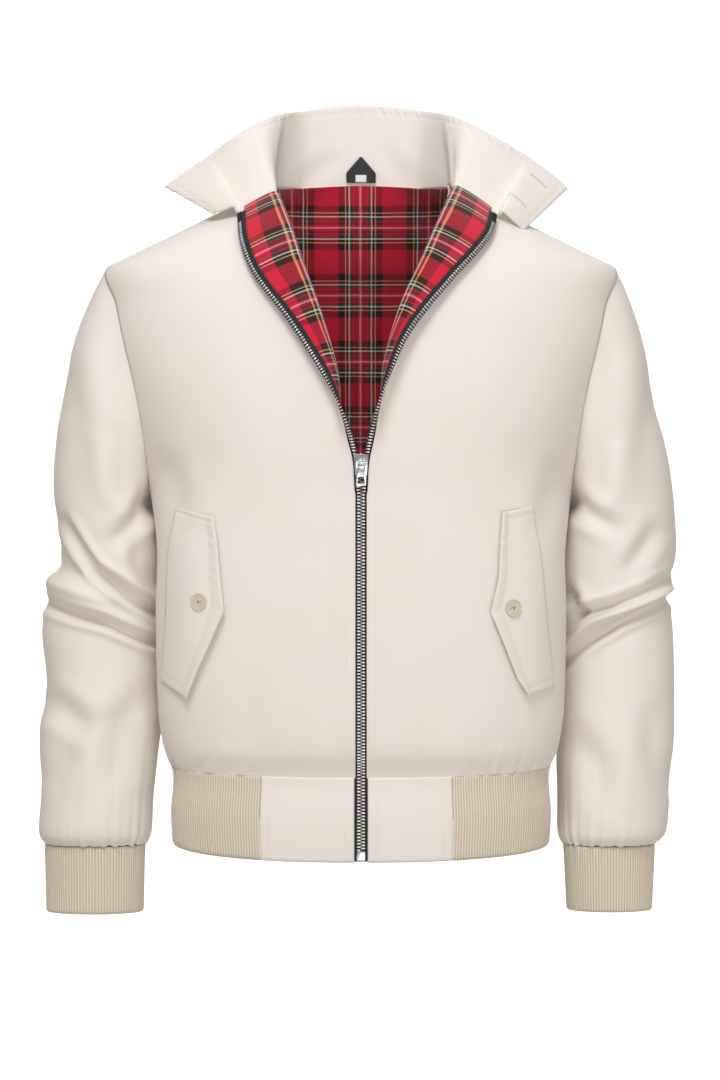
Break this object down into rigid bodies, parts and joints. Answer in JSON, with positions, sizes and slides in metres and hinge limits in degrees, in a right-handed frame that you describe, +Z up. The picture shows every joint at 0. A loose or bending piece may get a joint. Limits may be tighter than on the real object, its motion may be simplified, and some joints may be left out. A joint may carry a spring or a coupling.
{
  "type": "harrington jacket",
  "caption": "Zip-front harrington jacket, filled out as worn, collar open over tartan-lined fronts, ribbed waist and cuffs.",
  "frame": {"origin": "centre plane of the jacket, level with the neck's side points and midway between chest and back, where the wearer's shoulders and neck carry it", "axes": "+Z up, the zip faces -Y, +X towards the wearer's left"},
  "size_m": [0.6526, 0.2947, 0.8318],
  "materials": {
    "shell": "smooth stone-coloured polycotton twill",
    "rib": "beige rib knit",
    "tartan_lining": "brushed red tartan cotton",
    "zip_tape": "black woven zip tape",
    "zip_metal": "bright nickel",
    "button": "satin resin",
    "label": "bare black woven tape",
    "patch": "bare white satin tape"
  },
  "bodies": {
    "jacket": {"front_right": "shell", "front_left": "shell", "back": "shell", "sleeve_right": "shell", "sleeve_left": "shell", "collar": "shell", "waistband_tab_right": "shell", "waistband_tab_left": "shell", "flap_right": "shell", "flap_left": "shell", "waistband_rib": "rib", "cuff_right": "rib", "cuff_left": "rib", "lining_front_right": "tartan_lining", "lining_front_left": "tartan_lining", "lining_back": "tartan_lining", "zip_tape_right": "zip_tape", "zip_tape_left": "zip_tape", "zip_stop_right": "zip_tape", "zip_stop_left": "zip_tape", "zip_chain_right": "zip_metal", "zip_chain_left": "zip_metal", "slider": "zip_metal", "zip_box": "zip_metal", "flap_button_right": "button", "flap_button_left": "button", "collar_button_upper": "button", "collar_button_lower": "button", "neck_label": "label", "size_patch": "patch"},
    "pull_tab": {"pull_tab": "zip_metal"}
  },
  "joints": [
    {"name": "pull_tab_swing", "type": "hinge", "parent": "jacket", "child": "pull_tab", "pos_m": [0, -0.15218, -0.2715], "axis": [-1, 0, 0], "range_deg": [0, 150]}
  ]
}
